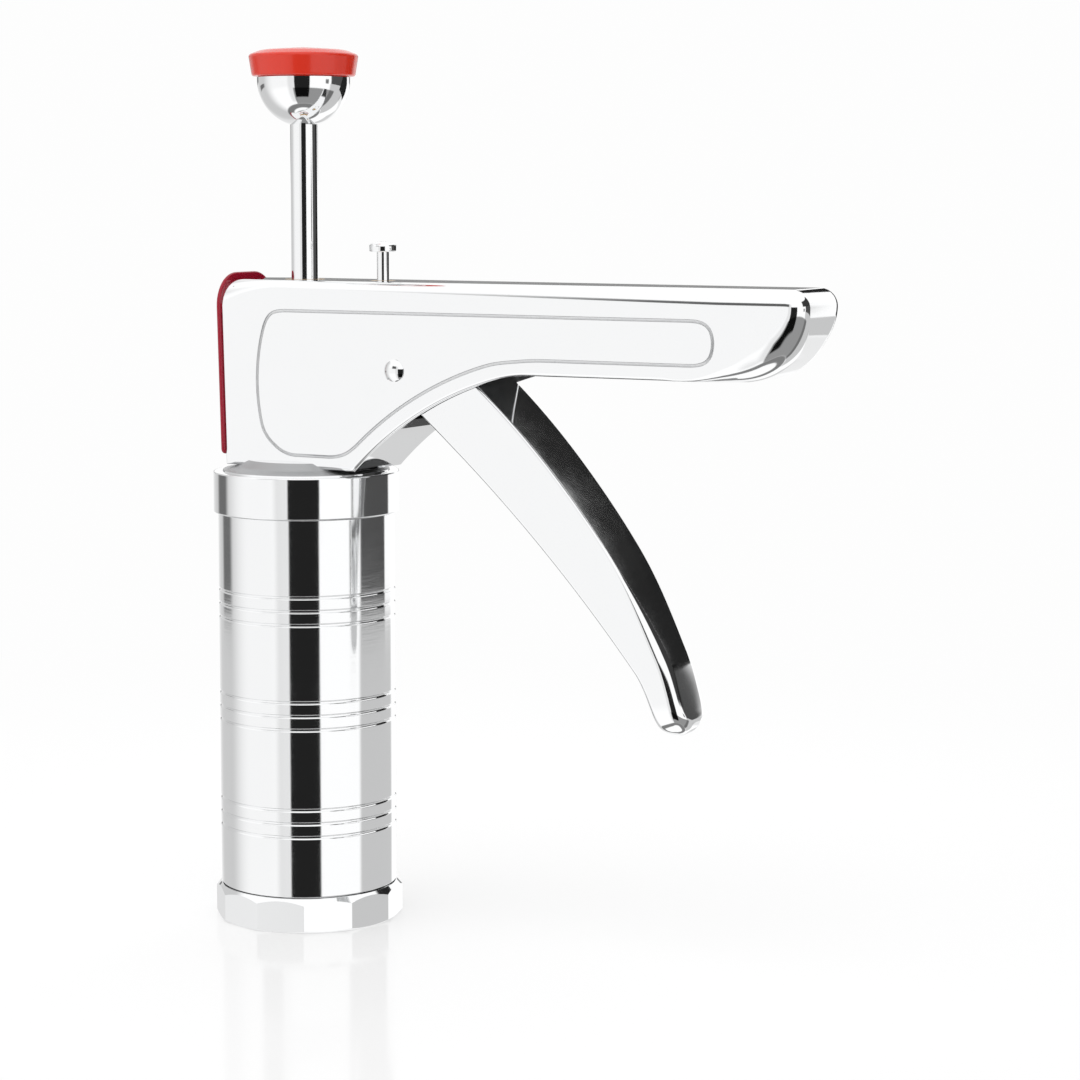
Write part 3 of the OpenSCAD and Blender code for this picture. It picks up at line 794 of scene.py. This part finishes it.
def plunger():
    """Rod, knob and piston, at rest."""
    low, high = 53, 240
    rod = rounded([(0, low, 0), (ROD_R, low, 0.4), (ROD_R, high, 0.3), (0, high, 0)], 4)
    lathe("rod", rod, "plunger", MATS["rod_chrome"], "polished_steel", ["piston_rod"],
          segments=96)
    eye = ROD_R + 0.03
    lip = BOWL_MID + 1
    bowl = ([(eye, 235.2)] + arc((0, BOWL_MID), BOWL_R, -72.6, 0, 36)
            + [(BOWL_R, lip - 0.3), (BOWL_R - 0.3, lip), (eye, lip)])
    lathe("bowl", bowl, "plunger", MATS["cast_chrome"], "cast_chrome", ["knob_bowl"])
    cap = rounded([(ROD_R, lip, 0), (15.0, lip, 0.7), (16.0, 253.8, 0.9), (12.5, 255.2, 8),
                   (0, 256.1, 0), (0, 253.1, 0), (ROD_R, 253.1, 0)], 8)
    lathe("cap", cap, "plunger", MATS["orange_plastic"], "orange_plastic", ["knob_cap"],
          sharp=40)
    disc = rounded([(3.0, 49.4, 0), (7.0, 49.4, 0.2), (7.0, 46, 0.4), (23.8, 46, 0.5),
                    (23.8, 47.6, 0.2), (21.65, 47.6, 0.2), (21.65, 50.4, 0.2), (23.8, 50.4, 0.2),
                    (23.8, 52, 0.5), (3.0, 52, 0)], 4)
    lathe("piston", disc, "plunger", MATS["white_plastic"], "white_plastic", ["piston_disc"])


# ---------------------------------------------------------------- cover and small pieces

def front_cover():
    """The plastic cover: a thin plate with rounded edges, slightly crowned, and two pegs."""
    side, low, high, thick, edge_r = 14.5, FLOOR + 3, TOP + 1.9, 1.2, 0.55
    outline = resample(rounded([(-side, low, 1.5), (side, low, 1.5), (side, high, 10),
                                (-side, high, 10)], 12), 2.5)
    centre = Vector((0, (low + high) / 2))
    shares = [1.0] * 7 + [0.9, 0.75, 0.55, 0.3, 0.1]
    n = len(outline)
    push = inward(outline)
    verts, faces = [], []
    for face in (1, -1):
        for k, share in enumerate(shares):
            turn = math.radians(15 * min(k, 6))
            inset = edge_r * (1 - math.cos(turn))
            half = thick / 2 - edge_r + edge_r * math.sin(turn)
            for p, d in zip(outline, push):
                edge = Vector(p) + d * inset
                spot = centre + (edge - centre) * share
                lean = mix(FRONT[0], FRONT[1], (spot.y - FLOOR) / (TOP - FLOOR))
                crown = 0.15 * (1 - share ** 2) if face < 0 else 0
                verts.append((lean - thick / 2 + face * half - crown, spot.x, spot.y))
    m = len(shares)
    for base in (0, m):
        for k in range(m - 1):
            a, b = (base + k) * n, (base + k + 1) * n
            faces += [(a + i, a + (i + 1) % n, b + (i + 1) % n, b + i) for i in range(n)]
        faces.append([(base + m - 1) * n + i for i in range(n)])
    faces += [(i, (i + 1) % n, m * n + (i + 1) % n, m * n + i) for i in range(n)]
    obj = tool("cover_plate", verts, faces)
    for z in (148, 173):
        lean = mix(FRONT[0], FRONT[1], (z - FLOOR) / (TOP - FLOOR))
        peg = rod_mesh((lean - 0.4, 0, z), (FRONT[0] + 1.8, 0, z), 2.2)
        combine(obj, "UNION", [tool("peg", *peg)])
    dress(obj, "frame", MATS["red_plastic"], ["front_cover"], 50)


def turned_on_y(profile, centre, side):
    """A lathe mesh whose axis is laid along Y at centre, growing outwards on one side."""
    verts, faces = lathe_mesh(profile, segments=64)
    return [(centre[0] + x, side * z, centre[1] + y) for x, y, z in verts], faces


def small_pieces():
    """The trigger's pin with its two domed heads, and the release pin with its button."""
    head_r, head_h = 3.25, 1.2
    dome_r = (head_r ** 2 + head_h ** 2) / (2 * head_h)
    half = math.degrees(math.asin((head_r - 0.1) / dome_r))
    dome = arc((0, HALF_W + head_h - dome_r), dome_r, 90 - half, 90, 10)
    profile = [(0, 11), (PIVOT_R, 11), (PIVOT_R, HALF_W), (head_r, HALF_W),
               (head_r, HALF_W + 0.12)] + dome
    for side, name in ((-1, "pivot_head_near"), (1, "pivot_head_far")):
        verts, faces = turned_on_y(profile, PIVOT, side)
        obj = make(name, verts, faces, None, MATS["cast_chrome"], "polished_steel")
        weld(obj)
        dress(obj, "frame", MATS["cast_chrome"], sharp=45)
    shank = rod_mesh((PIVOT[0], -11, PIVOT[1]), (PIVOT[0], 11, PIVOT[1]), PIVOT_R)
    make("pivot_shank", *shank, "frame", MATS["plain_steel"], "polished_steel", ["pivot_pin"])
    stem = rounded([(0, 183.3, 0), (1.8, 183.3, 0.3), (1.8, 197.5, 0), (0, 197.5, 0)], 4)
    lathe("release_stem", stem, "release", MATS["rod_chrome"], "polished_steel", ["release_pin"],
          axis=(PIN_X, 0), segments=64)
    head = rounded([(0, 197, 0), (4, 197, 0.4), (4, 199.3, 0.9), (0, 200, 0)], 6)
    lathe("release_head", head, "release", MATS["cast_chrome"], "polished_steel",
          ["release_button"], axis=(PIN_X, 0), segments=96)


def helix(name, low, high, radius, wire, turns, body, material, stands_for):
    """A coil spring whose first and last turns lie nearly flat."""
    sides, per_turn = 10, 40
    verts, faces = [], []
    count = int(turns * per_turn)
    for i in range(count + 1):
        t = i / count
        a = 2 * math.pi * turns * t
        rise = smooth((t - 0.5 / turns) / (1 - 1 / turns)) * 0.25 + t * 0.75
        z = low + wire / 2 + (high - low - wire) * rise
        for k in range(sides):
            b = 2 * math.pi * k / sides
            r = radius + wire / 2 * math.cos(b)
            verts.append((r * math.cos(a), r * math.sin(a), z + wire / 2 * math.sin(b)))
    for i in range(count):
        faces += [(i * sides + k, (i + 1) * sides + k, (i + 1) * sides + (k + 1) % sides,
                   i * sides + (k + 1) % sides) for k in range(sides)]
    faces += [list(range(sides)), [count * sides + k for k in range(sides)]]
    return make(name, verts, faces, body, material, "spring_steel", stands_for, 60)


def springs():
    """The return spring under the drive plate, and the lock spring between the two plates."""
    drive_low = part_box("drive_plate")[0].z / MM
    drive_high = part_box("drive_plate")[1].z / MM
    lock_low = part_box("lock_spring")[1].z / MM
    big = helix("drive_spring", SPRING_FOOT, drive_low - 0.1, radius=6.6, wire=1.2, turns=6,
                body="frame", material=MATS["spring_steel"], stands_for=["return_spring"])
    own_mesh(big)
    small = helix("bias_spring", drive_high + 0.1, lock_low - TILT_ROOM, radius=5.8, wire=0.8,
                  turns=4, body=None, material=MATS["spring_steel"], stands_for=["lock_spring"])
    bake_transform(small)


# ---------------------------------------------------------------- studio

BACKDROP = 0.985       # brightness behind the object
STUDIO_LIGHT = 1.12    # brightness of the room that lights it
FLAGS = [  # azimuth from, to, softness; elevation from, to, softness; share of light held back
    (-79, -42, 2, -42, 8, 4, 0.985),       # tall black panel beside the camera
    (-92, -84, 10, -50, 20, 10, 0.22),     # its grey shoulder
    (-140, -108, 25, -12, 8, 10, 0.08),    # faint shade on the broad side
    (-202, -178, 40, -60, 30, 10, 0.42),   # grey drape, far left
    (18, 80, 6, -18, -8.8, 0.6, 0.45),     # grey drape, right
    (18, 66, 4, -60, -18.6, 0.6, 0.45),    # its lower part
    (-82, 30, 4, -60, -22, 3, 0.72),       # dark drape in front of the handle's end
    (64, 112, 3, -24, -20, 3, 0.2),        # pale card beyond the handle
    (19, 63, 4, -8.2, 12, 0.6, 0.93),      # black panel above the grey drape
    (-192, -178, 10, -8.2, -4, 0.6, 0.75),  # dark panel, far left
    (2, 8, 3, -8.2, 0, 0.6, 0.82),         # slim black strip
    (0, 63, 6, 12, 36, 3, 0.96),           # black panel high on the right
    (94, 112, 4, -38, -26, 2, 0.38),       # grey card under the arch
    (-117, -96, 8, 13, 24, 4, 0.9),        # dark panel over the camera
    (100, 150, 5, 0.8, 4, 1, 0.75),        # dark strip on the horizon behind
    (112, 135, 8, -60, -1, 2, 0.1),        # faint shade at grazing angles
    (-180, 180, 1, -72, -63, 3, 0.8),      # dark edge of the table
]


def world():
    """White studio all round, with the dark areas that the polished metal mirrors."""
    sky = bpy.data.worlds.new("studio")
    bpy.context.scene.world = sky
    sky.use_nodes = True
    tree = sky.node_tree
    tree.nodes.clear()
    g = Nodes(tree)
    way = g.add("ShaderNodeTexCoord").outputs["Generated"]
    axis = g.add("ShaderNodeSeparateXYZ", {0: way})
    azimuth = g.math("MULTIPLY", g.math("ARCTAN2", axis.outputs[1], axis.outputs[0]),
                     180 / math.pi)
    height = g.math("MULTIPLY", g.math("ARCSINE", axis.outputs[2]), 180 / math.pi)

    def within(value, low, high, soft):
        """1 from low to high, falling to 0 over soft degrees on both sides; angles wrap round."""
        off = g.math("WRAP", g.math("SUBTRACT", value, (low + high) / 2), 180.0, -180.0)
        half = (high - low) / 2
        return g.add("ShaderNodeMapRange", {"Value": g.math("ABSOLUTE", off), "From Min": half,
                                            "From Max": half + soft, "To Min": 1.0, "To Max": 0.0},
                     interpolation_type="SMOOTHSTEP").outputs[0]

    light = STUDIO_LIGHT
    for from_az, to_az, soft, from_el, to_el, fade, held_back in FLAGS:
        area = g.math("MULTIPLY", within(azimuth, from_az, to_az, soft),
                      within(height, from_el, to_el, fade))
        keep = g.math("SUBTRACT", 1.0, g.math("MULTIPLY", area, held_back))
        light = g.math("MULTIPLY", keep, light)
    seen = g.add("ShaderNodeLightPath").outputs["Is Camera Ray"]
    level = g.math("ADD", g.math("MULTIPLY", seen, BACKDROP),
                   g.math("MULTIPLY", g.math("SUBTRACT", 1.0, seen), light))
    back = g.add("ShaderNodeBackground", {"Color": (1, 1, 1, 1), "Strength": level})
    out = g.add("ShaderNodeOutputWorld")
    tree.links.new(back.outputs[0], out.inputs[0])


def floor_material():
    """A pale, faintly mirroring table that fades into the backdrop away from the object."""
    mat = bpy.data.materials.new("pale_floor")
    mat.use_nodes = True
    tree = mat.node_tree
    tree.nodes.clear()
    g = Nodes(tree)
    where = g.add("ShaderNodeTexCoord").outputs["Object"]
    cloud = g.add("ShaderNodeTexNoise", {"Vector": where, "Scale": 6.0, "Detail": 3.0}).outputs[0]
    rough = g.add("ShaderNodeMapRange", {"Value": cloud, "To Min": 0.06, "To Max": 0.12}).outputs[0]
    table = g.add("ShaderNodeBsdfPrincipled", {"Base Color": (0.93, 0.93, 0.93, 1),
                                               "Roughness": rough, "IOR": 1.36})
    far = g.add("ShaderNodeVectorMath", {0: where}, operation="LENGTH").outputs["Value"]
    share = g.add("ShaderNodeMapRange", {"Value": far, "From Min": 0.05, "From Max": 0.5,
                                         "To Min": 0.5}, interpolation_type="SMOOTHSTEP").outputs[0]
    glow = g.add("ShaderNodeEmission", {"Color": (1, 1, 1, 1), "Strength": BACKDROP})
    both = g.add("ShaderNodeMixShader", {0: share, 1: table.outputs[0], 2: glow.outputs[0]})
    out = g.add("ShaderNodeOutputMaterial")
    tree.links.new(both.outputs[0], out.inputs[0])
    return mat


def floor():
    """The table, which the metal does not mirror."""
    mesh = bpy.data.meshes.new("floor")
    size = 3.0
    mesh.from_pydata([(-size, -size, 0), (size, -size, 0), (size, size, 0), (-size, size, 0)], [],
                     [(0, 1, 2, 3)])
    obj = linked("floor", mesh)
    obj.data.materials.append(floor_material())
    obj.visible_glossy = False


def card():
    """A black card behind the object, cut so that only the lever's outer face mirrors it."""
    outline = [(55, 140), (275, 140), (275, 168), (240, 235), (140, 312), (72, 356), (55, 356)]
    behind = 300
    obj = tool("card", [(x, behind, z) for x, z in outline], [list(range(len(outline)))])
    obj.data.materials.append(material("black_card", (0.004, 0.004, 0.004), 0.0, (0.9, 1.0)))
    obj.visible_camera = obj.visible_diffuse = obj.visible_shadow = False


def softbox(name, place, aim, size, power):
    """A square light that the metal does not mirror."""
    data = bpy.data.lights.new(name, "AREA")
    data.shape = "RECTANGLE"
    data.size, data.size_y = size
    data.energy = power
    obj = linked(name, data)
    obj.location = place
    obj.rotation_mode = "QUATERNION"
    obj.rotation_quaternion = (Vector(aim) - Vector(place)).to_track_quat("-Z", "Y")
    obj.visible_glossy = False


def camera():
    """The photo's angle, fitted to points of the model."""
    yaw, pitch = math.radians(29.154), math.radians(5.361)
    data = bpy.data.cameras.new("camera")
    data.sensor_width = 36
    data.lens = 95.61
    data.shift_y = -0.08
    obj = linked("camera", data)
    obj.location = (0.4702, -0.7016, 0.2163)
    obj.rotation_euler = (math.pi / 2 - pitch, 0, yaw)
    bpy.context.scene.camera = obj


body_shell()
trigger_lever()
barrel()
collar()
die_ring()
plunger()
front_cover()
small_pieces()
springs()
world()
floor()
card()
softbox("key", place=(-0.2, -0.5, 1.2), aim=(0.05, 0, 0.05), size=(0.9, 0.9), power=3)
camera()
bpy.context.scene.view_settings.view_transform = "Standard"

not_evened = ("floor", "card", "drive_spring", "bias_spring")
for piece in bpy.data.objects:
    if piece.type == "MESH" and piece.name not in not_evened:
        even = piece.modifiers.new("even", "WEIGHTED_NORMAL")
        even.keep_sharp = True
